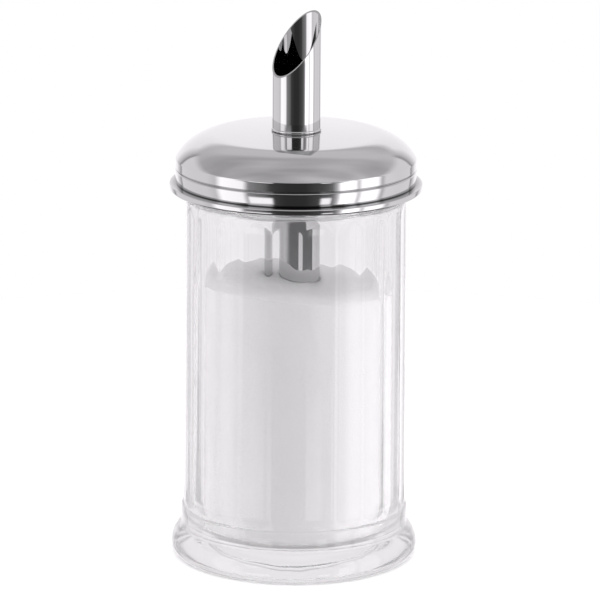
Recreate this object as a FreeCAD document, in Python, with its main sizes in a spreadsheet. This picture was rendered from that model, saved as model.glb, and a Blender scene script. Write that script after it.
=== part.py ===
import FreeCAD, Part
import math
import os

import Sketcher

# Sugar dispenser: a fluted glass jar with a domed steel lid. A slant-cut steel tube goes through
# the middle of the lid: its upper end is the spout, and its lower end stands in the sugar near the
# jar's floor, so that one spoonful leaves each time the jar is tipped.
# Frame: millimetres, +Z up, origin at the middle of the circle that the foot stands on. -Y is the
# front. Every outline is half a section, as (distance from the axis, height).

SIZES = {
    # glass jar, outside, from the table up
    "push_up": 2.0, "stand_inner": 32.0, "stand_outer": 35.4,
    "foot_radius": 38.0, "foot_edge": 3.2, "foot_bend": 3.0, "foot_shoulder": 7.5,
    "band_radius": 34.9, "band_low": 9.4, "band_top": 15.2, "ledge_bend": 1.0,
    "body_foot_radius": 34.3, "body_low": 16.0, "body_top_radius": 33.75, "body_top": 111.4,
    "shoulder_bend": 1.6, "shoulder_radius": 32.5, "shoulder_top": 113.2,
    "neck_radius": 31.9, "neck_low": 113.8, "rim_edge": 124.6, "rim_bend": 0.8,
    "rim_outer": 31.1, "rim_inner": 30.3, "rim_top": 125.4,
    # glass jar, inside
    "bore_radius": 29.5, "bore_corner": 12.5, "corner_bend": 4.3,
    "floor_radius": 25.2, "floor_edge": 8.3, "floor_rise": 0.8,
    # flutes, cut by a drum that stands upright beside the jar
    "flute_count": 22, "drum_axis": 51.3, "drum_low": 15.88, "drum_low_out": 35.0,
    "flute_low": 19.5, "flute_low_deep": 33.47, "flute_low_bend": 5.0,
    "flute_top": 107.6, "flute_top_deep": 33.03, "flute_top_bend": 11.0,
    "drum_top_out": 34.6, "drum_top": 113.3,
    # screw threads, on the glass and inside the lid; the two ridges pass each other freely
    "thread_pitch": 3.5, "thread_rise": 4.2, "glass_thread_low": 117.2, "glass_thread_root": 31.6,
    "glass_thread_crest": 32.9, "thread_half_root": 0.85, "thread_half_crest": 0.35,
    "ring_thread_low": 119.2, "ring_thread_root": 34.2, "ring_thread_crest": 33.07,
    # seal on the glass rim
    "seal_inner": 29.7, "seal_outer": 33.2, "seal_low": 125.5, "seal_top": 126.5,
    # lid shell: dome, two bands with a crease between them, and the rolled hem
    "lid_hole": 7.5, "dome_crown": 133.2, "dome_bend": 400.0, "corner_start": 24.6,
    "corner_start_up": 132.44, "corner_outer": 15.0, "dome_edge": 36.55, "dome_edge_up": 125.2,
    "lid_radius": 36.85, "band_edge_up": 124.8, "crease_top": 121.95, "crease_radius": 36.55,
    "crease_up": 121.7, "crease_low": 121.45, "skirt_radius": 36.7, "skirt_low": 117.65,
    "skirt_bend": 12.0, "hem_neck": 36.6, "hem_neck_up": 117.06, "hem_bend": 1.25,
    "hem_under": 115.14, "lid_bore": 36.25, "dome_inside_edge_up": 124.72, "corner_inner": 14.5,
    "inside_start_up": 131.94, "dome_inside_bend": 399.5, "dome_inside_crown": 132.7,
    # threaded ring pressed into the lid shell
    "ring_outer": 36.15, "ring_low": 115.9, "ring_bore": 33.9, "ring_ceiling": 126.6,
    "ring_edge_up": 124.3, "ring_top_radius": 33.4, "ring_top": 127.8, "ring_flange": 30.2,
    # tube: spout above the lid, dosing tube below it
    "tube_radius": 7.4, "tube_bore": 7.0, "tube_low": 13.0, "tube_heel": 24.0,
    "bead_low": 133.25, "bead_top": 134.15, "bead_bend": 0.5, "spout_low": 150.3, "spout_tip": 169.3,
    "spout_turn": 40.0, "cut_reach": 8.0,
    # collar that grips the tube under the lid
    "collar_bore": 7.43, "collar_neck": 8.4, "collar_low": 128.6, "collar_plate_low": 131.75,
    "collar_plate": 12.0, "collar_top_edge": 132.4, "collar_top": 132.55,
    # sugar
    "sugar_radius": 29.15, "sugar_corner": 12.8, "sugar_bend": 4.2, "sugar_floor": 24.9,
    "sugar_edge": 8.65, "sugar_crown": 9.4, "sugar_top": 88.0, "sugar_hole": 7.75,
    "sugar_hole_floor": 12.6,
    "jar_turn": 4.5,
}

# Sizes that follow from the driving ones: the jar's shallow domed floors, whose arcs are centred on
# the axis, a thread's corners, and the two slanting cuts, carried past the tube's wall.
DERIVED = {
    "push_up_bend": "=(stand_inner^2 + push_up^2) / (2 * push_up)",
    "floor_crown": "=floor_edge + floor_rise",
    "floor_bend": "=(floor_radius^2 + floor_rise^2) / (2 * floor_rise)",
    "glass_root_low": "=glass_thread_low - thread_half_root",
    "glass_crest_low": "=glass_thread_low - thread_half_crest",
    "glass_crest_top": "=glass_thread_low + thread_half_crest",
    "glass_root_top": "=glass_thread_low + thread_half_root",
    "ring_root_low": "=ring_thread_low - thread_half_root",
    "ring_crest_low": "=ring_thread_low - thread_half_crest",
    "ring_crest_top": "=ring_thread_low + thread_half_crest",
    "ring_root_top": "=ring_thread_low + thread_half_root",
    "spout_above": "=spout_tip + cut_reach",
    "spout_slope": "=(spout_tip - spout_low) / (2 * tube_radius)",
    "cut_high": "=(spout_tip + spout_low) / 2 + spout_slope * cut_reach",
    "cut_low": "=(spout_tip + spout_low) / 2 - spout_slope * cut_reach",
    "foot_slope": "=(tube_heel - tube_low) / (2 * tube_radius)",
    "foot_cut_high": "=(tube_heel + tube_low) / 2 + foot_slope * cut_reach",
    "foot_cut_low": "=(tube_heel + tube_low) / 2 - foot_slope * cut_reach",
    "foot_below": "=tube_low - cut_reach",
}

doc = FreeCAD.newDocument("sugar_dispenser")
sheet = doc.addObject("Spreadsheet::Sheet", "Sizes")
for row, (alias, value) in enumerate({**SIZES, **DERIVED}.items(), start=1):
    sheet.set(f"A{row}", alias)
    sheet.set(f"B{row}", str(value))
    sheet.setAlias(f"B{row}", alias)
doc.recompute()


def new_body(name):
    """An empty PartDesign body whose label names the exported file."""
    body = doc.addObject("PartDesign::Body", name)
    body.Label = name
    return body


def origin_part(body, role):
    """A plane or axis of the body's own origin, such as XZ_Plane or Z_Axis."""
    return next(item for item in body.Origin.OriginFeatures if item.Role == role)


def coordinate(alias):
    """Value of a corner's coordinate: None is zero, and a leading minus turns it round."""
    if alias is None:
        return 0.0
    return -sheet.get(alias[1:]) if alias.startswith("-") else sheet.get(alias)


def arc_edge(start, end, radius, left, long_way):
    """Arc from start to end, turning left or right, and its end numbers in the sketch."""
    chord = end - start
    middle = (start + end) * 0.5
    reach = math.sqrt(max(radius ** 2 - (chord.Length / 2) ** 2, 0.0))
    side = FreeCAD.Vector(-chord.y, chord.x, 0).normalize()
    if left == long_way:
        reach = -reach
    centre = middle + side * reach
    first, last = (start, end) if left else (end, start)
    angles = [math.atan2(point.y - centre.y, point.x - centre.x) for point in (first, last)]
    circle = Part.Circle(centre, FreeCAD.Vector(0, 0, 1), radius)
    return Part.ArcOfCircle(circle, *angles), (1, 2) if left else (2, 1)


def outline(body, name, corners, axis_at=None):
    """Closed sketch on the body's XZ plane through corners (across, up, bend), each a sheet alias.

    bend is None for a straight edge to the next corner, or (radius alias, "left" or "right",
    and "long" for the longer way round). axis_at adds an upright construction line.
    """
    sketch = body.newObject("Sketcher::SketchObject", name)
    sketch.AttachmentSupport = (origin_part(body, "XZ_Plane"), [""])
    sketch.MapMode = "FlatFace"
    points = [FreeCAD.Vector(coordinate(across), coordinate(up), 0) for across, up, _ in corners]
    ends = []
    for index, (_, _, bend) in enumerate(corners):
        start, end = points[index], points[(index + 1) % len(points)]
        if bend is None:
            sketch.addGeometry(Part.LineSegment(start, end), False)
            ends.append((1, 2))
            continue
        radius = sheet.get(bend[0])
        arc, numbers = arc_edge(start, end, radius, bend[1] == "left", "long" in bend)
        sketch.addGeometry(arc, False)
        ends.append(numbers)
    for index in range(len(corners)):
        following = (index + 1) % len(corners)
        joint = ("Coincident", index, ends[index][1], following, ends[following][0])
        sketch.addConstraint(Sketcher.Constraint(*joint))
    for index, (across, up, bend) in enumerate(corners):
        corner = (index, ends[index][0])
        bind_distance(sketch, "DistanceX", corner, across, -2)
        bind_distance(sketch, "DistanceY", corner, up, -1)
        if bend is not None:
            radius = Sketcher.Constraint("Radius", index, sheet.get(bend[0]))
            bind(sketch, sketch.addConstraint(radius), bend[0])
    if axis_at is not None:
        add_axis(sketch, axis_at, min(point.y for point in points), max(point.y for point in points))
    return sketch


def bind(sketch, number, alias):
    """Tie a dimension of the sketch to its cell in the sheet."""
    name = f"{alias}_{number}"
    sketch.renameConstraint(number, name)
    sketch.setExpression(f"Constraints.{name}", f"Sizes.{alias}")


def bind_distance(sketch, kind, corner, alias, zero_axis):
    """Hold a corner at its distance from the sketch's origin, or on an axis where that is zero."""
    if alias is None:
        sketch.addConstraint(Sketcher.Constraint("PointOnObject", *corner, zero_axis))
        return
    plain = alias.lstrip("-")
    pair = (*corner, -1, 1) if alias.startswith("-") else (-1, 1, *corner)
    number = sketch.addConstraint(Sketcher.Constraint(kind, *pair, sheet.get(plain)))
    bind(sketch, number, plain)


def add_axis(sketch, alias, low, high):
    """Upright construction line that a groove turns about."""
    across = sheet.get(alias)
    line = Part.LineSegment(FreeCAD.Vector(across, low, 0), FreeCAD.Vector(across, high, 0))
    index = sketch.addGeometry(line, True)
    sketch.addConstraint(Sketcher.Constraint("Vertical", index))
    bind_distance(sketch, "DistanceX", (index, 1), alias, -2)
    for end, level in ((1, low), (2, high)):
        sketch.addConstraint(Sketcher.Constraint("DistanceY", -1, 1, index, end, level))


def turned(body, name, corners):
    """Solid of revolution about the body's Z axis."""
    sketch = outline(body, f"{name}_outline", corners)
    feature = body.newObject("PartDesign::Revolution", name)
    feature.Profile = (sketch, [""])
    feature.ReferenceAxis = (sketch, ["V_Axis"])
    feature.Angle = 360
    sketch.Visibility = False
    doc.recompute()
    return feature


def helix_ridge(body, name, corners):
    """Screw thread: the outline carried round the body's Z axis."""
    sketch = outline(body, f"{name}_outline", corners)
    feature = body.newObject("PartDesign::AdditiveHelix", name)
    feature.Profile = (sketch, [""])
    feature.ReferenceAxis = (sketch, ["V_Axis"])
    feature.Mode = 0
    feature.setExpression("Pitch", "Sizes.thread_pitch")
    feature.setExpression("Height", "Sizes.thread_rise")
    doc.recompute()
    return feature


def slant_cut(body, name, corners):
    """Cut right through the body by the outline, to both sides of the XZ plane."""
    sketch = outline(body, f"{name}_outline", corners)
    feature = body.newObject("PartDesign::Pocket", name)
    feature.Profile = (sketch, [""])
    feature.Midplane = True
    feature.Type = 0
    feature.Length = 6 * sheet.get("cut_reach")
    doc.recompute()
    return feature


# Glass jar: one turned solid, then the flutes round it and the thread on its neck.
jar = new_body("glass_jar")
turned(jar, "jar_blank", [
    (None, "push_up", ("push_up_bend", "right")),
    ("stand_inner", None, None),
    ("stand_outer", None, ("foot_bend", "left")),
    ("foot_radius", "foot_edge", ("foot_shoulder", "left")),
    ("band_radius", "band_low", None),
    ("band_radius", "band_top", ("ledge_bend", "left")),
    ("body_foot_radius", "body_low", None),
    ("body_top_radius", "body_top", ("shoulder_bend", "left")),
    ("shoulder_radius", "shoulder_top", None),
    ("neck_radius", "neck_low", None),
    ("neck_radius", "rim_edge", ("rim_bend", "left")),
    ("rim_outer", "rim_top", None),
    ("rim_inner", "rim_top", ("rim_bend", "left")),
    ("bore_radius", "rim_edge", None),
    ("bore_radius", "bore_corner", ("corner_bend", "right")),
    ("floor_radius", "floor_edge", ("floor_bend", "left")),
    (None, "floor_crown", None),
])
flute_sketch = outline(jar, "flute_outline", [
    ("drum_axis", "drum_low", None),
    ("drum_low_out", "drum_low", ("flute_low_bend", "right")),
    ("flute_low_deep", "flute_low", None),
    ("flute_top_deep", "flute_top", ("flute_top_bend", "right")),
    ("drum_top_out", "drum_top", None),
    ("drum_axis", "drum_top", None),
], axis_at="drum_axis")
flute = jar.newObject("PartDesign::Groove", "flute")
flute.Profile = (flute_sketch, [""])
flute.ReferenceAxis = (flute_sketch, ["Axis0"])
flute.Angle = 360
doc.recompute()
flutes = jar.newObject("PartDesign::PolarPattern", "flutes")
flutes.Originals = [flute]
flutes.Axis = (origin_part(jar, "Z_Axis"), [""])
flutes.Angle = 360
flutes.setExpression("Occurrences", "Sizes.flute_count")
jar.Tip = flutes
doc.recompute()
helix_ridge(jar, "glass_thread", [
    ("glass_thread_root", "glass_root_low", None),
    ("glass_thread_crest", "glass_crest_low", None),
    ("glass_thread_crest", "glass_crest_top", None),
    ("glass_thread_root", "glass_root_top", None),
])
jar.setExpression("Placement.Rotation.Angle", "Sizes.jar_turn")

# Sugar that fills most of the jar, with a hole where the tube stands in it.
sugar = new_body("sugar_fill")
turned(sugar, "sugar_heap", [
    (None, "sugar_crown", None),
    ("sugar_floor", "sugar_edge", ("sugar_bend", "left")),
    ("sugar_radius", "sugar_corner", None),
    ("sugar_radius", "sugar_top", None),
    ("sugar_hole", "sugar_top", None),
    ("sugar_hole", "sugar_hole_floor", None),
    (None, "sugar_hole_floor", None),
])

# Flat washer between the glass rim and the lid.
seal = new_body("rim_seal")
turned(seal, "seal_washer", [
    ("seal_inner", "seal_low", None),
    ("seal_outer", "seal_low", None),
    ("seal_outer", "seal_top", None),
    ("seal_inner", "seal_top", None),
])

# Lid shell, pressed from thin steel sheet: dome, upper band, crease, lower band, rolled hem.
lid = new_body("lid_shell")
turned(lid, "lid_pressing", [
    ("lid_hole", "dome_crown", ("dome_bend", "right")),
    ("corner_start", "corner_start_up", ("corner_outer", "right")),
    ("dome_edge", "dome_edge_up", None),
    ("lid_radius", "band_edge_up", None),
    ("lid_radius", "crease_top", None),
    ("crease_radius", "crease_up", None),
    ("skirt_radius", "crease_low", ("skirt_bend", "right")),
    ("skirt_radius", "skirt_low", None),
    ("hem_neck", "hem_neck_up", ("hem_bend", "right", "long")),
    ("hem_neck", "hem_under", None),
    ("lid_bore", "hem_under", None),
    ("lid_bore", "dome_inside_edge_up", ("corner_inner", "left")),
    ("corner_start", "inside_start_up", ("dome_inside_bend", "left")),
    ("lid_hole", "dome_inside_crown", None),
])

# Moulded ring inside the lid, which carries the lid's thread and presses on the seal.
ring = new_body("thread_ring")
turned(ring, "ring_moulding", [
    ("ring_bore", "ring_low", None),
    ("ring_outer", "ring_low", None),
    ("ring_outer", "ring_edge_up", None),
    ("ring_top_radius", "ring_top", None),
    ("ring_flange", "ring_top", None),
    ("ring_flange", "ring_ceiling", None),
    ("ring_bore", "ring_ceiling", None),
])
helix_ridge(ring, "ring_thread", [
    ("ring_thread_root", "ring_root_low", None),
    ("ring_thread_root", "ring_root_top", None),
    ("ring_thread_crest", "ring_crest_top", None),
    ("ring_thread_crest", "ring_crest_low", None),
])

# One tube through the lid: a bead rests on the dome, and both ends are cut on a slant.
tube = new_body("dosing_tube")
turned(tube, "tube_blank", [
    ("tube_bore", "tube_low", None),
    ("tube_radius", "tube_low", None),
    ("tube_radius", "bead_low", ("bead_bend", "left")),
    ("tube_radius", "bead_top", None),
    ("tube_radius", "spout_tip", None),
    ("tube_bore", "spout_tip", None),
])
slant_cut(tube, "spout_cut", [
    ("-cut_reach", "cut_low", None),
    ("cut_reach", "cut_high", None),
    ("cut_reach", "spout_above", None),
    ("-cut_reach", "spout_above", None),
])
slant_cut(tube, "foot_cut", [
    ("-cut_reach", "foot_cut_high", None),
    ("-cut_reach", "foot_below", None),
    ("cut_reach", "foot_below", None),
    ("cut_reach", "foot_cut_low", None),
])
tube.setExpression("Placement.Rotation.Angle", "Sizes.spout_turn")

# Collar pushed up the tube from below, which holds the lid against the bead.
collar = new_body("tube_collar")
turned(collar, "collar_pressing", [
    ("collar_bore", "collar_low", None),
    ("collar_neck", "collar_low", None),
    ("collar_neck", "collar_plate_low", None),
    ("collar_plate", "collar_plate_low", None),
    ("collar_plate", "collar_top_edge", None),
    ("collar_bore", "collar_top", None),
])

doc.recompute()
for item in doc.Objects:
    if {"Invalid", "Error"} & set(item.State):
        raise RuntimeError(f"{item.Name} failed: {item.State}")

os.makedirs("parts", exist_ok=True)
for body in (jar, sugar, seal, lid, ring, tube, collar):
    shape = body.Shape
    if shape.isNull() or not shape.isValid() or len(shape.Solids) != 1:
        raise RuntimeError(f"{body.Label} is not one sound solid")
    shape.exportStep(f"parts/{body.Label}.step")
    print(f"{body.Label}: {shape.Volume / 1000:.2f} cm3")
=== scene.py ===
# %% [markdown]
# # Sugar dispenser
# A fluted glass jar of sugar stands on a round foot. Its lid is pressed from polished steel sheet,
# and a slant-cut steel tube goes through the middle of the lid down into the sugar.
# The CAD frame gives the sizes, the places and what moves. This script adds the finished shapes
# and surfaces around it. Every round piece is turned, as a potter or a metal spinner would make it:
# half a section is drawn, and then it is spun round the upright axis.

# %% Load the frame
import math

import bpy
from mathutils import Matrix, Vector, noise


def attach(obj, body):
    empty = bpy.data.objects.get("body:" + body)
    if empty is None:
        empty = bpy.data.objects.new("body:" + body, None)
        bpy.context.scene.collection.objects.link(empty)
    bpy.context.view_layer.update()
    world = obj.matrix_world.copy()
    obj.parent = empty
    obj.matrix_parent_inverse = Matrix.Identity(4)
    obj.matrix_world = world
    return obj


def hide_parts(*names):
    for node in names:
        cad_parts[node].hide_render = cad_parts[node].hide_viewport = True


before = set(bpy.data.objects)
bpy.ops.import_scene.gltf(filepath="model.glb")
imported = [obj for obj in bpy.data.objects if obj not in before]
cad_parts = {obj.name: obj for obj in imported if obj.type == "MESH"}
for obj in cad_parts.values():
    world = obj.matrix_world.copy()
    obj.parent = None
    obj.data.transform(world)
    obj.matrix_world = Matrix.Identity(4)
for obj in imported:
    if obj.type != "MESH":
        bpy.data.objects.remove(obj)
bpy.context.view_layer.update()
MM = 0.001
print("nodes:", sorted(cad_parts))

# %% [markdown]
# ## Camera
# The camera stands in front, well back and a little above the lid, with a long lens, so that the
# foot shows as a wide ellipse and the lid as a narrower one. It comes first, because every later
# choice is judged through it. Its tilt follows from the height on the jar's axis that it looks at,
# and a touch of roll gives the jar its slight lean.

# %% Camera
CAMERA_BACK = 1331 * MM
CAMERA_UP = 418 * MM
LOOK_UP = 79.9 * MM
LOOK_RIGHT = 1.45 * MM
LENS_MM, SENSOR_MM = 268.4, 36
SEE_UP_TO = 50
LEAN = math.radians(0.37)

lens = bpy.data.cameras.new("camera")
lens.lens = LENS_MM
lens.sensor_width = SENSOR_MM
lens.clip_end = SEE_UP_TO
camera = bpy.data.objects.new("camera", lens)
bpy.context.scene.collection.objects.link(camera)
tilt = math.atan2(CAMERA_UP - LOOK_UP, CAMERA_BACK)
camera.location = (LOOK_RIGHT, -CAMERA_BACK, CAMERA_UP)
camera.rotation_euler = (math.pi / 2 - tilt, 0, 0)
camera.rotation_euler.rotate_axis("Z", LEAN)
bpy.context.scene.camera = camera
print("camera tilt, degrees:", round(math.degrees(tilt), 2))

# %% [markdown]
# ## Studio
# Polished steel and clear glass show little but their surroundings, so the studio is most of the
# look. The sky round the object is painted by direction, in degrees round the upright axis and
# degrees up, which costs no noise and leaves no lamps to hide. The view transform is Standard, so
# that a white floor stays white. Light bounces many times inside the thick glass of the foot and
# between the flutes, and each path that is cut short turns black, so the limits are high.

# %% View and light bounces
LIGHT_BOUNCES = 64
bpy.context.scene.view_settings.view_transform = "Standard"
bpy.context.scene.cycles.max_bounces = LIGHT_BOUNCES
bpy.context.scene.cycles.transmission_bounces = LIGHT_BOUNCES
bpy.context.scene.cycles.glossy_bounces = LIGHT_BOUNCES
print("light bounces:", LIGHT_BOUNCES)

# %% Node helpers
def add_node(tree, kind, **settings):
    """A node with its settings; a setting that names an input sets that input."""
    node = tree.nodes.new(kind)
    for name, value in settings.items():
        if name in node.inputs:
            node.inputs[name].default_value = value
        else:
            setattr(node, name, value)
    return node


def math_node(tree, operation, first, second=None):
    """A Math node; each operand is a number or another node's output."""
    node = tree.nodes.new("ShaderNodeMath")
    node.operation = operation
    for socket, value in zip(node.inputs, (first, second)):
        if isinstance(value, bpy.types.NodeSocket):
            tree.links.new(value, socket)
        elif value is not None:
            socket.default_value = value
    return node.outputs[0]


def ramp_node(tree, factor, stops):
    """A colour ramp in greys; stops are (place from 0 to 1, grey)."""
    node = tree.nodes.new("ShaderNodeValToRGB")
    ramp = node.color_ramp
    while len(ramp.elements) > 1:
        ramp.elements.remove(ramp.elements[0])
    ramp.elements[0].position = stops[0][0]
    ramp.elements[0].color = (*(stops[0][1],) * 3, 1)
    for place, grey in stops[1:]:
        ramp.elements.new(place).color = (grey, grey, grey, 1)
    tree.links.new(factor, node.inputs["Fac"])
    return node.outputs["Color"]


# %% Sky by direction
world = bpy.data.worlds.new("studio")
bpy.context.scene.world = world
world.use_nodes = True
sky = world.node_tree
sky.nodes.clear()
direction = add_node(sky, "ShaderNodeTexCoord")
parts = add_node(sky, "ShaderNodeSeparateXYZ")
sky.links.new(direction.outputs["Generated"], parts.inputs[0])
toward_camera = math_node(sky, "MULTIPLY", parts.outputs["Y"], -1.0)
azimuth = math_node(sky, "ARCTAN2", parts.outputs["X"], toward_camera)
elevation = math_node(sky, "ARCSINE", parts.outputs["Z"])
around = math_node(sky, "ADD", math_node(sky, "DIVIDE", azimuth, 2 * math.pi), 0.5)
upward = math_node(sky, "ADD", math_node(sky, "DIVIDE", elevation, math.pi), 0.5)


def by_side(stops):
    """Value by degrees round the axis: 0 is towards the camera, below 0 is to its left."""
    return ramp_node(sky, around, [(degrees / 360 + 0.5, value) for degrees, value in stops])


def by_height(stops):
    """Value by degrees above the horizon."""
    return ramp_node(sky, upward, [(degrees / 180 + 0.5, value) for degrees, value in stops])


print("sky nodes so far:", len(sky.nodes))

# %% Walls, ceiling and table top
def paint_over(colour, mask, paint):
    """Cover a colour, where the mask is 1, with a grey or with another colour."""
    mixed = add_node(sky, "ShaderNodeMix", data_type="RGBA")
    sky.links.new(mask, mixed.inputs["Factor"])
    sky.links.new(colour, mixed.inputs["A"])
    if isinstance(paint, bpy.types.NodeSocket):
        sky.links.new(paint, mixed.inputs["B"])
    else:
        mixed.inputs["B"].default_value = (paint, paint, paint, 1)
    return mixed.outputs["Result"]


def surroundings(walls, ceiling, table, ceiling_edge, table_edge=(-44, -32)):
    """Walls all round, a ceiling over them and a table top under them, with soft edges."""
    roofed = paint_over(by_side(walls), by_height([(ceiling_edge[0], 0), (ceiling_edge[1], 1)]), ceiling)
    return paint_over(roofed, by_height([(table_edge[0], 1), (table_edge[1], 0)]), table)


# %% [markdown]
# ## What the steel mirrors
# Steel looks like steel because it mirrors strong contrasts: a dark room behind the camera, a
# bright soft panel on each side with a dark edge, mid-grey flanks, a pale backdrop, and an uneven
# grey ceiling, which is all that the front of the dome shows. A few small lamps and a paler upper
# part of the room break up the dark bands. The dark table top draws the line under the hem.

# %% Studio in the mirror
BACKDROP = 0.84
SIDE_ROOM = 0.7
MIRRORED_WALLS = [
    (-180, BACKDROP), (-156, BACKDROP), (-144, 0.45), (-141, 0.2), (-139, SIDE_ROOM),
    (-94, SIDE_ROOM), (-83, 0.6), (-76, 1.2), (-52, 1.1), (-46, 0.25), (-38, 0.19), (-30, 0.14),
    (-24, 0.05), (-9, 0.03), (9, 0.03), (15, 0.045), (26, 0.07), (35, 0.14), (40, 0.5), (45, 1.7),
    (58, 1.4), (62, 0.6), (66, 1.3), (84, 1.3), (90, 0.45), (95, 0.75), (115, SIDE_ROOM),
    (139, SIDE_ROOM), (141, 0.2), (144, 0.45), (156, BACKDROP), (180, BACKDROP),
]
CEILING_GREYS = [(0.35, 0.37), (0.5, 0.45), (0.65, 0.56)]
cloud = add_node(sky, "ShaderNodeTexNoise", Scale=1.1, Detail=1.5)
streaked = add_node(sky, "ShaderNodeMapping", Scale=(1, 2, 1))
sky.links.new(direction.outputs["Generated"], streaked.inputs["Vector"])
sky.links.new(streaked.outputs["Vector"], cloud.inputs["Vector"])
uneven_ceiling = ramp_node(sky, cloud.outputs["Fac"], CEILING_GREYS)
TABLE_DARK = 0.06
mirrored = surroundings(MIRRORED_WALLS, uneven_ceiling, TABLE_DARK, ceiling_edge=(24, 31))

# %% Upper room and small lamps
ROOM_GREY, LAMP_BRIGHT = 0.3, 1.1
ROOM_SIDES = [(-62, 0), (-50, 1), (-30, 1), (-20, 0), (30, 0), (38, 1), (46, 1), (56, 0)]
ROOM_HIGH = [(1, 0), (8, 1), (20, 1), (27, 0)]
LAMP_SIDES = [(-47, 0), (-45, 1), (-23, 1), (-21, 0), (23, 0), (25, 1), (33, 1), (35, 0)]
LAMP_LEVELS = [(-27, 0), (-25, 1), (-16, 1), (-14, 0), (9, 0), (11, 1), (20, 1), (22, 0)]
for sides, levels, grey in (
    (ROOM_SIDES, ROOM_HIGH, ROOM_GREY), (LAMP_SIDES, LAMP_LEVELS, LAMP_BRIGHT),
):
    patch = math_node(sky, "MULTIPLY", by_side(sides), by_height(levels))
    mirrored = paint_over(mirrored, patch, grey)
print("stops in the mirrored walls:", len(MIRRORED_WALLS))

# %% [markdown]
# ## What shows through the glass, and the light on the sugar
# Clear glass is drawn by what it bends into view. Pale surroundings keep it light, and their darker
# sides and front draw the fine lines along the flutes and the foot. What is seen right through the
# wall and back out again, such as the room that the tube mirrors, gets a version with paler sides.
# The sugar is matt, so it only needs light: strong from both sides and from above, and next to none
# from the front, which leaves a soft grey band down its middle.

# %% Softer studios
SOFT_WALLS = [
    (-180, 0.86), (-125, 0.84), (-105, 0.68), (-60, 0.8), (-40, 0.5), (-22, 0.2), (48, 0.2),
    (58, 1.0), (100, 0.86), (120, 0.88), (180, 0.86),
]
soft = surroundings(SOFT_WALLS, ceiling=0.8, table=0.5, ceiling_edge=(20, 30))
PALE_WALLS = [
    (-180, 0.86), (-125, 0.82), (-105, 0.55), (-60, 0.74), (-40, 0.35), (-22, 0.15), (48, 0.15),
    (58, 0.8), (80, 0.6), (105, 0.6), (130, 0.82), (180, 0.86),
]
pale = surroundings(PALE_WALLS, ceiling=0.82, table=0.45, ceiling_edge=(20, 30), table_edge=(-38, -24))
SUGAR_LIGHT = [
    (-180, 1.2), (-100, 1.7), (-60, 2.5), (-34, 0.05), (30, 0.05), (54, 3.8), (80, 2.8), (120, 1.6),
    (180, 1.2),
]
filling = surroundings(SUGAR_LIGHT, ceiling=2.7, table=0.9, ceiling_edge=(14, 24))
print("sky nodes so far:", len(sky.nodes))

# %% [markdown]
# ## Which light answers which ray
# A Light Path node tells what a ray has met on its way to the sky, and each answer covers the one
# before it. A ray that came through glass also counts as a glossy one, so the answer for glass
# comes after the answer for mirrors. Stainless steel gives back about six tenths of the light, so
# the mirrored studio is brighter by 1.4. The camera itself sees plain white.

# %% Choose by ray
MIRROR_STRENGTH = 1.4
LIGHT_TINT = (1.0, 0.975, 1.0, 1)
BOTH_WALLS = 3.5
ray = add_node(sky, "ShaderNodeLightPath")
is_mirrored, is_through = ray.outputs["Is Glossy Ray"], ray.outputs["Is Transmission Ray"]
after_sugar = math_node(sky, "GREATER_THAN", ray.outputs["Diffuse Depth"], 0.5)
deep = math_node(sky, "GREATER_THAN", ray.outputs["Transmission Depth"], BOTH_WALLS)
through_jar = math_node(sky, "MULTIPLY", is_through, deep)
shader = None
for colour, strength, picked_by in (
    (pale, 1.0, None), (mirrored, MIRROR_STRENGTH, is_mirrored), (pale, 1.0, is_through),
    (soft, 1.0, through_jar), (filling, 1.0, after_sugar), (None, 1.0, ray.outputs["Is Camera Ray"]),
):
    lit = add_node(sky, "ShaderNodeBackground", Strength=strength)
    lit.inputs["Color"].default_value = (1, 1, 1, 1)
    if colour is not None:
        cast = add_node(sky, "ShaderNodeMix", data_type="RGBA", blend_type="MULTIPLY")
        cast.inputs["Factor"].default_value = 1.0
        cast.inputs["B"].default_value = LIGHT_TINT
        sky.links.new(colour, cast.inputs["A"])
        sky.links.new(cast.outputs["Result"], lit.inputs["Color"])
    if shader is None:
        shader = lit.outputs[0]
        continue
    choose = add_node(sky, "ShaderNodeMixShader")
    sky.links.new(picked_by, choose.inputs["Fac"])
    sky.links.new(shader, choose.inputs[1])
    sky.links.new(lit.outputs[0], choose.inputs[2])
    shader = choose.outputs[0]
sky.links.new(shader, add_node(sky, "ShaderNodeOutputWorld").inputs["Surface"])
print("sky nodes:", len(sky.nodes))

# %% [markdown]
# ## Modelling tools
# A few small helpers do the lathe work. `bow` and `straight` give the points of a section, one
# stretch at a time. `turn` draws the section by extruding one vertex along it and spins it with
# the Spin operator, and `finish_shell` welds the seam and turns the faces outwards. `smooth` shades
# a piece, and `hand_over` says which body it rides on, which CAD node it stands for and which
# finish it takes.

# %% Points of a section
def bow(start, end, radius, left, steps, long_way=False):
    """Points of an arc from start (left out) to end, in mm, turning left or right."""
    run, rise = end[0] - start[0], end[1] - start[1]
    chord = math.hypot(run, rise)
    reach = math.sqrt(max(radius ** 2 - chord ** 2 / 4, 0.0))
    if left == long_way:
        reach = -reach
    across = (start[0] + end[0]) / 2 - rise / chord * reach
    up = (start[1] + end[1]) / 2 + run / chord * reach
    first = math.atan2(start[1] - up, start[0] - across)
    last = math.atan2(end[1] - up, end[0] - across)
    sweep = (last - first) % (2 * math.pi)
    if not left:
        sweep -= 2 * math.pi
    angles = [first + sweep * step / steps for step in range(1, steps + 1)]
    return [(across + radius * math.cos(a), up + radius * math.sin(a)) for a in angles]


def straight(start, end, steps):
    """Points of an even straight stretch from start (left out) to end, in mm."""
    return [(start[0] + (end[0] - start[0]) * step / steps,
             start[1] + (end[1] - start[1]) * step / steps) for step in range(1, steps + 1)]


# %% Turning
WELD, SAME_PLACE = 2e-6, 1e-7


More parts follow.
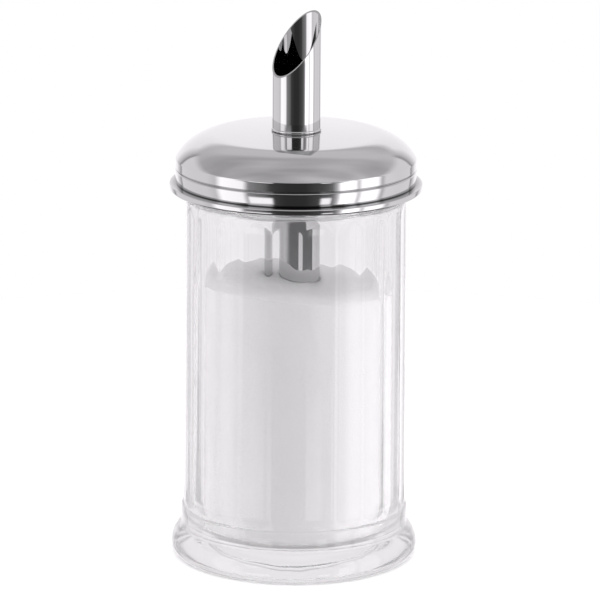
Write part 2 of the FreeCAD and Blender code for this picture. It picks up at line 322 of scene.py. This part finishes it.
def deselect_all():
    """Leave nothing selected, so that the next operator touches only its own piece."""
    if bpy.context.mode != "OBJECT":
        bpy.ops.object.mode_set(mode="OBJECT")
    for item in bpy.context.selected_objects:
        item.select_set(False)


def finish_shell():
    """Weld what meets at the seam and the poles, and turn every face outwards."""
    bpy.ops.mesh.select_all(action="SELECT")
    bpy.ops.mesh.remove_doubles(threshold=WELD)
    bpy.ops.mesh.normals_make_consistent(inside=False)
    bpy.ops.object.mode_set(mode="OBJECT")


def turn(name, section, steps, closed):
    """Draw a section, in mm, by extruding one vertex, and spin it round the upright axis."""
    deselect_all()
    bpy.ops.mesh.primitive_plane_add(size=MM)
    piece = bpy.context.active_object
    piece.name = name
    bpy.ops.object.mode_set(mode="EDIT")
    bpy.ops.mesh.select_all(action="SELECT")
    # A small plane merged at its centre leaves the one vertex that the section grows from.
    bpy.ops.mesh.merge(type="CENTER")
    bpy.ops.transform.translate(value=(section[0][0] * MM, 0, section[0][1] * MM))
    path = section[1:] + (section[:1] if closed else [])
    for (r_from, z_from), (r_to, z_to) in zip(section, path):
        step = ((r_to - r_from) * MM, 0, (z_to - z_from) * MM)
        bpy.ops.mesh.extrude_region_move(TRANSFORM_OT_translate={"value": step})
    bpy.ops.mesh.select_all(action="SELECT")
    bpy.ops.mesh.remove_doubles(threshold=SAME_PLACE)
    bpy.ops.mesh.spin(steps=steps, angle=2 * math.pi, center=(0, 0, 0), axis=(0, 0, 1))
    finish_shell()
    print(name, "has", len(section), "points in its section and", steps, "steps round")
    return piece


# %% Shading and handing over
def smooth(piece, degrees):
    """Smooth shading, with edges sharper than the given angle kept crisp."""
    deselect_all()
    bpy.context.view_layer.objects.active = piece
    piece.select_set(True)
    bpy.ops.object.shade_smooth_by_angle(angle=math.radians(degrees))


def hand_over(piece, body, slot, material, *nodes):
    """Give the piece its finish, its body and the CAD nodes that it stands for. The slot is not used."""
    piece.data.materials.clear()
    piece.data.materials.append(material)
    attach(piece, body)
    if nodes:
        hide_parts(*nodes)
    size = [round(length / MM, 1) for length in piece.dimensions]
    print(piece.name, "faces:", len(piece.data.polygons), "size in mm:", size)


# %% [markdown]
# ## Surfaces
# Each finish is a small node tree on the Principled shader. The glass is real refracting glass
# with the faint waviness that pressing leaves. The steel is bare metal: its colour hardly varies,
# but polishing leaves fine streaks round the lid and along the tube, which blur what it mirrors.
# On the lid, thin bands at the hem corner and in the crease get painted shade: the colour is
# darkened there for the shadow that falls in these grooves. The sugar is bright grains with a fine
# cell pattern for its bump, and light wanders a way into it. A value that is the same all over
# stays on the shader's own socket, and only what varies comes from a texture.

# %% Surface helpers
def new_material(name):
    """A new material, its node tree and its Principled shader."""
    material = bpy.data.materials.new(name)
    material.use_nodes = True
    return material, material.node_tree, material.node_tree.nodes["Principled BSDF"]


def object_place(tree, scale):
    """Object coordinates, stretched by scale on each axis."""
    coordinates = add_node(tree, "ShaderNodeTexCoord")
    mapping = add_node(tree, "ShaderNodeMapping", Scale=scale)
    tree.links.new(coordinates.outputs["Object"], mapping.inputs["Vector"])
    return mapping.outputs["Vector"]


def noise_at(tree, place, scale, detail=2.0):
    """Noise texture value at a place."""
    texture = add_node(tree, "ShaderNodeTexNoise", Scale=scale, Detail=detail)
    tree.links.new(place, texture.inputs["Vector"])
    return texture.outputs["Fac"]


def spread(tree, value, low, high):
    """Stretch a 0 to 1 value over a range."""
    node = add_node(tree, "ShaderNodeMapRange")
    node.inputs["To Min"].default_value = low
    node.inputs["To Max"].default_value = high
    tree.links.new(value, node.inputs["Value"])
    return node.outputs["Result"]


def add_bump(tree, shader, height, strength, distance):
    """Bump from a height value onto the shader."""
    bump = add_node(tree, "ShaderNodeBump", Strength=strength, Distance=distance)
    tree.links.new(height, bump.inputs["Height"])
    tree.links.new(bump.outputs["Normal"], shader.inputs["Normal"])


def grey_between(tree, value, low, high, tint=1.0):
    """Two greys mixed by a value."""
    node = add_node(tree, "ShaderNodeMix", data_type="RGBA")
    tree.links.new(value, node.inputs["Factor"])
    node.inputs["A"].default_value = (low, low, low * tint, 1)
    node.inputs["B"].default_value = (high, high, high * tint, 1)
    return node.outputs["Result"]


# %% Clear pressed glass
GLASS_IOR = 1.5
UPRIGHT_WAVES = (1, 1, 0.35)


def clear_glass():
    """Clear glass with the faint upright waves of pressing."""
    material, tree, shader = new_material("clear_pressed_glass")
    shader.inputs["Transmission Weight"].default_value = 1.0
    shader.inputs["IOR"].default_value = GLASS_IOR
    shader.inputs["Roughness"].default_value = 0.0
    waves = noise_at(tree, object_place(tree, UPRIGHT_WAVES), 90.0, 1.0)
    tree.links.new(grey_between(tree, waves, 0.985, 0.995, 1.003), shader.inputs["Base Color"])
    add_bump(tree, shader, waves, 0.25, 0.3 * MM)
    return material


# %% Painted shade in the corners of the steel
EVEN = (1, 1, 1)
# Painted shade: in thin bands at the hem corner and in the crease, the lid's colour is darkened to this
# share, where shadow falls in the grooves.
CORNER_SHADE = 0.08
SHADE_LOW, SHADE_SPAN = 115.0, 10.0
# Heights and reach in mm of the two bands of painted shade.
HEM_CORNER, CREASE = (117.42, 0.38), (121.62, 0.22)


def paint_shade_in_corners(tree, colour, corners):
    """Darken a colour in corners as painted shade, each given by its height and its reach in mm."""
    stops = [(0.0, 1.0)]
    for height, reach in corners:
        # Each corner dips to painted shade at its height and fades back to full colour over its reach.
        for offset, lit_share in ((-reach, 1.0), (0.0, CORNER_SHADE), (reach, 1.0)):
            stops.append(((height + offset - SHADE_LOW) / SHADE_SPAN, lit_share))
    split = add_node(tree, "ShaderNodeSeparateXYZ")
    tree.links.new(object_place(tree, EVEN), split.inputs[0])
    level = add_node(tree, "ShaderNodeMapRange")
    level.inputs["From Min"].default_value = SHADE_LOW * MM
    level.inputs["From Max"].default_value = (SHADE_LOW + SHADE_SPAN) * MM
    tree.links.new(split.outputs["Z"], level.inputs["Value"])
    shaded_colour = add_node(tree, "ShaderNodeMix", data_type="RGBA", blend_type="MULTIPLY")
    shaded_colour.inputs["Factor"].default_value = 1.0
    tree.links.new(colour, shaded_colour.inputs["A"])
    tree.links.new(ramp_node(tree, level.outputs["Result"], stops), shaded_colour.inputs["B"])
    return shaded_colour.outputs["Result"]


# %% Polished and plain steel
POLISHED, PLAIN = 0.615, 0.5
ROUND_THE_LID, ALONG_THE_TUBE, BLOTCHES = (1, 1, 5), (5, 5, 0.3), (2, 2, 2)


def bare_steel(name, streaks, rough_low, rough_high, bright, corners=()):
    """Bare steel. streaks stretches the polishing marks, corners lists the places where shade is painted into
    the colour.
    """
    material, tree, shader = new_material(name)
    shader.inputs["Metallic"].default_value = 1.0
    marks = noise_at(tree, object_place(tree, streaks), 60.0, 4.0)
    colour = grey_between(tree, marks, bright - 0.03, bright, 1.005)
    # Painted shade darkens the colour in the listed corners.
    if corners:
        colour = paint_shade_in_corners(tree, colour, corners)
    tree.links.new(colour, shader.inputs["Base Color"])
    tree.links.new(spread(tree, marks, rough_low, rough_high), shader.inputs["Roughness"])
    add_bump(tree, shader, marks, 0.05, 0.02 * MM)
    return material


# %% Granulated sugar
GRAINS_PER_METRE = 1900.0
LIGHT_REACH = 12 * MM


def granulated_sugar():
    """White grains, with light that wanders between them."""
    material, tree, shader = new_material("granulated_sugar")
    place = object_place(tree, EVEN)
    grains = add_node(tree, "ShaderNodeTexVoronoi", Scale=GRAINS_PER_METRE)
    tree.links.new(place, grains.inputs["Vector"])
    grain = grains.outputs["Distance"]
    tree.links.new(grey_between(tree, grain, 0.93, 0.86), shader.inputs["Base Color"])
    shader.inputs["Roughness"].default_value = 0.6
    shader.inputs["Subsurface Weight"].default_value = 0.8
    shader.inputs["Subsurface Radius"].default_value = (1, 1, 1)
    shader.inputs["Subsurface Scale"].default_value = LIGHT_REACH
    add_bump(tree, shader, grain, 0.25, 0.2 * MM)
    return material


# %% Plastic and rubber
def pale_moulding(name, cloud_scale, greys, tint, roughness, glow):
    """A pale moulded material with slightly uneven colour and gloss."""
    material, tree, shader = new_material(name)
    cloud = noise_at(tree, object_place(tree, EVEN), cloud_scale)
    tree.links.new(grey_between(tree, cloud, *greys, tint), shader.inputs["Base Color"])
    tree.links.new(spread(tree, cloud, *roughness), shader.inputs["Roughness"])
    shader.inputs["Subsurface Weight"].default_value = glow
    add_bump(tree, shader, cloud, 0.1, 0.05 * MM)
    return material


ring_plastic = pale_moulding("moulded_plastic", 120.0, (0.78, 0.84), 0.985, (0.3, 0.42), 0.15)
seal_rubber = pale_moulding("silicone_rubber", 200.0, (0.70, 0.78), 0.99, (0.5, 0.62), 0.3)

# %% Make the other finishes
glass = clear_glass()
# The lid gets painted shade at its hem corner and in its crease.
lid_steel = bare_steel("lid_polished_steel", ROUND_THE_LID, 0.05, 0.11, POLISHED, (HEM_CORNER, CREASE))
tube_steel = bare_steel("tube_polished_steel", ALONG_THE_TUBE, 0.02, 0.05, POLISHED)
collar_steel = bare_steel("collar_pressed_steel", BLOTCHES, 0.25, 0.35, PLAIN)
sugar_white = granulated_sugar()
print("materials:", len(bpy.data.materials))

# %% [markdown]
# ## Jar
# The jar is pressed in a split mould. Its outside runs from the pushed-up bottom over the rounded
# foot and the base band to the fluted body, the shoulder and the threaded neck, and its inside is
# a plain round bore with a soft corner. One section makes both, and each of its points is a radius
# and a height in mm. It is spun so that each flute gets the same number of columns. The flutes and
# the screw thread are then pressed into the turned wall by moving its vertices along their radius:
# a boolean would leave long thin faces that show as flaws in clear glass.

# %% Jar section
FLUTES = 22
COLUMNS = 16 * FLUTES
JAR_OUTSIDE = [
    (0, 2.0), *bow((0, 2.0), (32.0, 0), 257.0, False, 16), *straight((32, 0), (35.4, 0), 2),
    *bow((35.4, 0), (38.0, 3.2), 3.0, True, 10), *bow((38.0, 3.2), (34.9, 9.4), 7.5, True, 14),
    *straight((34.9, 9.4), (34.9, 15.2), 3), *bow((34.9, 15.2), (34.3, 16.0), 1.0, True, 5),
]
BODY_LOW, BODY_HIGH = (34.3, 16.0), (33.75, 111.4)
FLUTE_LOW, FLUTE_HIGH = 19.5, 107.6


def body_at(height):
    """Point of the tapering body wall at a height."""
    share = (height - BODY_LOW[1]) / (BODY_HIGH[1] - BODY_LOW[1])
    return BODY_LOW[0] + (BODY_HIGH[0] - BODY_LOW[0]) * share, height


JAR_BODY = [
    *straight(BODY_LOW, body_at(FLUTE_LOW), 16), *straight(body_at(FLUTE_LOW), body_at(FLUTE_HIGH), 12),
    *straight(body_at(FLUTE_HIGH), BODY_HIGH, 20),
]
JAR_NECK = [
    *bow(BODY_HIGH, (32.5, 113.2), 1.6, True, 8), *bow((32.5, 113.2), (31.9, 113.8), 0.9, False, 4),
    *straight((31.9, 113.8), (31.9, 115.6), 2), *straight((31.9, 115.6), (31.9, 122.9), 28),
    *straight((31.9, 122.9), (31.9, 124.6), 2), *bow((31.9, 124.6), (31.1, 125.4), 0.8, True, 6),
    (30.3, 125.4), *bow((30.3, 125.4), (29.5, 124.6), 0.8, True, 6),
]
JAR_INSIDE = [
    *straight((29.5, 124.6), (29.5, 12.5), 14), *bow((29.5, 12.5), (25.2, 8.3), 4.3, False, 12),
    *bow((25.2, 8.3), (0, 9.1), 397.3, True, 10),
]
print("points in the jar's section:", len(JAR_OUTSIDE + JAR_BODY + JAR_NECK + JAR_INSIDE))

# %% Turn the jar
jar = turn("jar", JAR_OUTSIDE + JAR_BODY + JAR_NECK + JAR_INSIDE, COLUMNS, closed=False)

# %% Flutes and thread
FLUTE_DEPTH = 0.42
FLUTE_HALF = math.radians(7.05)
FLUTE_TURN = math.radians(4.5)
ARCH_TOP, ARCH_FOOT = 4.0, 2.7
THREAD_LOW, THREAD_PITCH, THREAD_RISE = 117.2, 3.5, 4.2
THREAD_OUT, THREAD_HALF = 1.0, 0.85
THREAD_FADE, THREAD_STEEP = 0.35, 1.6
BODY_SKIN, NECK_SKIN = 33, 31
NECK_LOW, NECK_HIGH = 114, 124
WALL_MARGIN = 0.01


def flute_depth(angle, height):
    """How deep the flute is at a place on the body, in mm."""
    pitch = 2 * math.pi / FLUTES
    off = (angle - FLUTE_TURN + pitch / 2) % pitch - pitch / 2
    run_out = 0.0
    if height > FLUTE_HIGH:
        run_out = (height - FLUTE_HIGH) / ARCH_TOP
    elif height < FLUTE_LOW:
        run_out = (FLUTE_LOW - height) / ARCH_FOOT
    return FLUTE_DEPTH * max(0.0, 1 - run_out ** 2 - (off / FLUTE_HALF) ** 2)


def thread_out(angle, height):
    """How far the screw thread stands out of the neck at a place, in mm."""
    best = 0.0
    for lap in range(2):
        turned = (angle % (2 * math.pi)) / (2 * math.pi) + lap
        rise = turned * THREAD_PITCH
        if rise > THREAD_RISE:
            continue
        ends = min(1.0, rise / THREAD_FADE, (THREAD_RISE - rise) / THREAD_FADE)
        near = 1 - ((height - THREAD_LOW - rise) / THREAD_HALF) ** 2
        best = max(best, THREAD_OUT * ends * min(1.0, THREAD_STEEP * max(0.0, near)))
    return best


# %% Move the wall
for vertex in jar.data.vertices:
    spot = vertex.co
    radius, height, angle = math.hypot(spot.x, spot.y) / MM, spot.z / MM, math.atan2(spot.y, spot.x)
    if BODY_LOW[1] - WALL_MARGIN < height < BODY_HIGH[1] + WALL_MARGIN and radius > BODY_SKIN:
        change = -flute_depth(angle, height)
    elif NECK_LOW < height < NECK_HIGH and radius > NECK_SKIN:
        change = thread_out(angle, height)
    else:
        continue
    spot.x *= (radius + change) / radius
    spot.y *= (radius + change) / radius
smooth(jar, 60)
hand_over(jar, "jar", "clear_glass", glass, "glass_jar")

# %% [markdown]
# ## Sugar
# The sugar fills the bore to about two thirds. It settles with a slope, lower at the right and at
# the back, it dips a little where it meets the glass, and its grains leave it slightly uneven. So it
# is turned as a plain plug, with a hole where the tube stands in it, and then its upper part is
# moved up and down, with noise that is the same on every run.

# %% Turn the sugar
SUGAR_TOP = 88.0
SUGAR_WALL = 29.15
SUGAR_FLOOR = 12.8
HOLE, HOLE_FLOOR = 7.75, 12.6
sugar = turn("sugar", [
    (0, 9.4), *straight((0, 9.4), (24.9, 8.65), 6),
    *bow((24.9, 8.65), (SUGAR_WALL, SUGAR_FLOOR), 4.2, True, 8),
    *straight((SUGAR_WALL, SUGAR_FLOOR), (SUGAR_WALL, SUGAR_TOP), 40),
    *straight((SUGAR_WALL, SUGAR_TOP), (HOLE, SUGAR_TOP), 30),
    *straight((HOLE, SUGAR_TOP), (HOLE, HOLE_FLOOR), 8), (0, HOLE_FLOOR),
], 220, closed=False)

# %% Settle its top
STILL_BELOW = 60
SLOPE, SLOPE_WIDTH = 1.2, 10
BACK_DIP = 1.5
EDGE_DIP, EDGE_FROM = 1.6, 23
WAVES, CRUMBS = (120, 0.3), (700, 0.15)
for vertex in sugar.data.vertices:
    spot = vertex.co
    share = max(0.0, (spot.z / MM - STILL_BELOW) / (SUGAR_TOP - STILL_BELOW))
    radius = math.hypot(spot.x, spot.y) / MM
    slope = -SLOPE * math.tanh(spot.x / MM / SLOPE_WIDTH) - BACK_DIP * max(0.0, spot.y / MM / SUGAR_WALL)
    dip = EDGE_DIP * max(0.0, (radius - EDGE_FROM) / (SUGAR_WALL - EDGE_FROM)) ** 2
    ruffle = sum(noise.noise(Vector(spot) * scale) * rise for scale, rise in (WAVES, CRUMBS))
    spot.z += share * MM * (slope + ruffle - dip)
smooth(sugar, 40)
hand_over(sugar, "jar", "sugar", sugar_white, "sugar_fill")

# %% [markdown]
# ## Lid
# The lid starts as a flat steel disc and is drawn into a cup in a few presses: a nearly flat crown
# with a rounded shoulder, an upright band, a sharp crease, a second band that swells slightly, and
# an edge rolled into a hem, which the last press leaves a little square. The sheet is half a
# millimetre thick, so the section runs along the outside, round the hem and back up the inside.

# %% Lid section
LID_SECTION = [
    (7.5, 133.2), *bow((7.5, 133.2), (24.6, 132.44), 400, False, 12),
    *bow((24.6, 132.44), (36.6, 125.12), 15.0, False, 24),
    *bow((36.6, 125.12), (36.8, 124.4), 1.4, False, 7), *straight((36.8, 124.4), (36.85, 122.2), 3),
    *bow((36.85, 122.2), (36.45, 121.7), 0.6, True, 5), *bow((36.45, 121.7), (36.8, 121.2), 0.6, True, 5),
    *bow((36.8, 121.2), (36.55, 117.35), 20.0, False, 12), (38.2, 117.15),
    *bow((38.2, 117.15), (38.65, 116.7), 0.45, False, 8), (38.65, 115.9),
    *bow((38.65, 115.9), (38.0, 115.2), 0.68, False, 8), (36.9, 115.2),
    *bow((36.9, 115.2), (36.25, 115.8), 0.62, False, 6), *straight((36.25, 115.8), (36.25, 124.72), 6),
    *bow((36.25, 124.72), (24.6, 131.94), 14.5, True, 20), *bow((24.6, 131.94), (7.5, 132.7), 399.5, True, 8),
]
lid = turn("lid", LID_SECTION, 256, closed=True)
smooth(lid, 25)
hand_over(lid, "lid", "polished_steel", lid_steel, "lid_shell")

# %% [markdown]
# ## Tube
# One thin steel tube is the spout above the lid and the dosing tube inside the jar. A small bead
# rolled into it rests on the lid. Both ends are sawn on a slant: the upper one makes a pouring
# lip, the lower one lets sugar in. The tube is turned too long, each end is cut with Bisect, and
# the open wall is closed again by bridging its inner and outer edges.

# %% Tube
TUBE_OUT, TUBE_IN = 7.4, 7.0
BLANK_LOW, BLANK_TOP = 5.0, 176.0
BEAD_LOW, BEAD_TOP, BEAD_ROUND = 133.25, 134.15, 0.5
SPOUT_LOW, SPOUT_TIP = 150.3, 169.3
HEEL_LOW, HEEL_HIGH = 13.0, 24.0
SPOUT_TURN = math.radians(40)
tube = turn("tube", [
    (TUBE_OUT, BLANK_LOW), *straight((TUBE_OUT, BLANK_LOW), (TUBE_OUT, BEAD_LOW), 6),
    *bow((TUBE_OUT, BEAD_LOW), (TUBE_OUT, BEAD_TOP), BEAD_ROUND, True, 8),
    *straight((TUBE_OUT, BEAD_TOP), (TUBE_OUT, BLANK_TOP), 4),
    *straight((TUBE_OUT, BLANK_TOP), (TUBE_IN, BLANK_TOP), 1),
    *straight((TUBE_IN, BLANK_TOP), (TUBE_IN, BLANK_LOW), 10),
], 128, closed=True)


def saw(piece, middle, normal):
    """Cut off what lies beyond a slanting plane and close the wall that the cut opens."""
    deselect_all()
    bpy.context.view_layer.objects.active = piece
    piece.select_set(True)
    bpy.ops.object.mode_set(mode="EDIT")
    bpy.ops.mesh.select_all(action="SELECT")
    bpy.ops.mesh.bisect(plane_co=middle, plane_no=normal, clear_outer=True)
    bpy.ops.mesh.select_all(action="DESELECT")
    bpy.ops.mesh.select_mode(type="EDGE")
    bpy.ops.mesh.select_non_manifold(extend=False)
    bpy.ops.mesh.bridge_edge_loops()
    bpy.ops.mesh.select_mode(type="VERT")
    finish_shell()


forward = Vector((math.cos(SPOUT_TURN), math.sin(SPOUT_TURN), 0))
spout_slope = (SPOUT_TIP - SPOUT_LOW) / (2 * TUBE_OUT)
heel_slope = (HEEL_HIGH - HEEL_LOW) / (2 * TUBE_OUT)
saw(tube, (0, 0, (SPOUT_TIP + SPOUT_LOW) / 2 * MM), Vector((0, 0, 1)) - forward * spout_slope)
saw(tube, (0, 0, (HEEL_HIGH + HEEL_LOW) / 2 * MM), -Vector((0, 0, 1)) - forward * heel_slope)
smooth(tube, 30)
hand_over(tube, "lid", "tube_steel", tube_steel, "dosing_tube")

# %% [markdown]
# ## Hidden pieces
# The threaded ring, the seal and the collar show only when the lid is off. Their CAD shapes are
# right, so they stay and get their own finishes.

# %% Finishes for the CAD pieces that stay
for node, finish in (
    ("thread_ring", ring_plastic), ("rim_seal", seal_rubber), ("tube_collar", collar_steel),
):
    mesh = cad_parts[node].data
    mesh.materials.clear()
    mesh.materials.append(finish)
    print(node, "is", finish.name)

# %% [markdown]
# ## Floor
# A wide pale disc carries the jar. It gives a little light of its own, as a lit white table does,
# so it stays clean white and the shadow under the foot stays faint. Polished steel would mirror it
# as a hard edge, and it would burn white through the glass, so both are kept from seeing it.

# %% Floor
FLOOR_RADIUS = 330 * MM
FLOOR_GREY, FLOOR_GLOW = 0.55, 0.25
deselect_all()
bpy.ops.mesh.primitive_circle_add(vertices=96, radius=FLOOR_RADIUS, fill_type="NGON")
floor = bpy.context.active_object
floor.name = "floor"
table_white, _, table_shader = new_material("table_white")
table_shader.inputs["Base Color"].default_value = (FLOOR_GREY, FLOOR_GREY, FLOOR_GREY, 1)
table_shader.inputs["Roughness"].default_value = 1.0
table_shader.inputs["Emission Color"].default_value = (1, 1, 1, 1)
table_shader.inputs["Emission Strength"].default_value = FLOOR_GLOW
floor.data.materials.append(table_white)
floor.visible_glossy = False
floor.visible_transmission = False
print("floor radius in mm:", round(FLOOR_RADIUS / MM))
